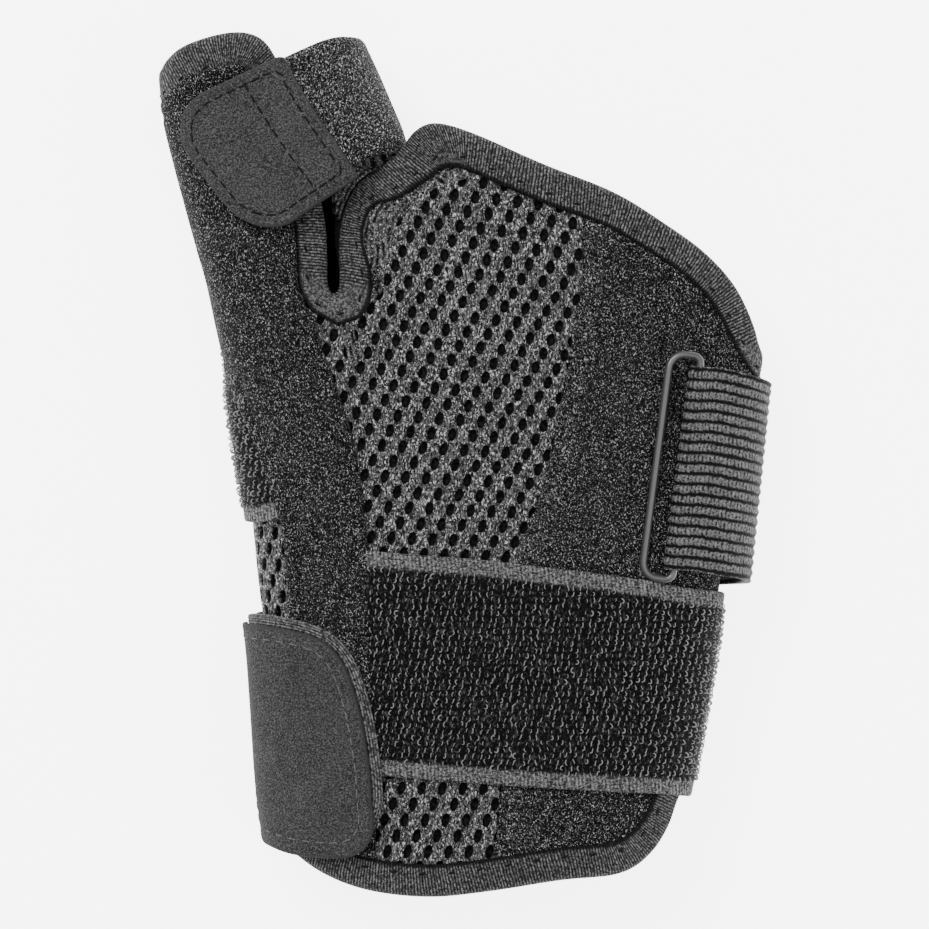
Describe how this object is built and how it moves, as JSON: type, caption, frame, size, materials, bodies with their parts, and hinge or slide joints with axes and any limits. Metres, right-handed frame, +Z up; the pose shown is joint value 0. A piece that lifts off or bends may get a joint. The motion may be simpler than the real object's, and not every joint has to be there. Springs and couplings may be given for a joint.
{
  "type": "thumb spica splint",
  "caption": "Slip-on soft splint for wrist and thumb with a mesh sleeve, thumb cradle, stay panel, wrist and palm straps, a ring loop and a thumb strap.",
  "frame": {"origin": "under the middle of the whole splint, on the surface that it lies on", "axes": "+X to the viewer's right across the hand, +Y from the wrist towards the fingers, +Z up through the front"},
  "size_m": [0.14, 0.1946, 0.0368],
  "materials": {
    "spacer_mesh": "matte knitted spacer mesh with open holes",
    "velour": "matte brushed velour over foam",
    "binding_tape": "matte fine knitted tape",
    "loop_pile": "matte loop pile",
    "ribbed_elastic": "matte ribbed elastic",
    "felt": "matte hook-backed felt",
    "painted_wire": "satin black paint on steel wire"
  },
  "bodies": {
    "splint": {"mesh_sleeve": "spacer_mesh", "velour_panel": "velour", "opening_binding": "binding_tape", "wrist_binding": "binding_tape", "stay_panel": "velour", "wrist_strap": "loop_pile", "wrist_tab_backing": "ribbed_elastic", "wrist_tab_felt": "felt", "palm_strap": "loop_pile", "ring_webbing": "ribbed_elastic", "thumb_strap": "velour", "thumb_tab": "felt"},
    "ring": {"wire_ring": "painted_wire"}
  },
  "joints": [
    {"name": "ring_pivot", "type": "hinge", "parent": "splint", "child": "ring", "pos_m": [0.04939, -0.00117, 0.03286], "axis": [0.1305, 0.9914, 0], "range_deg": [0, 140]}
  ]
}
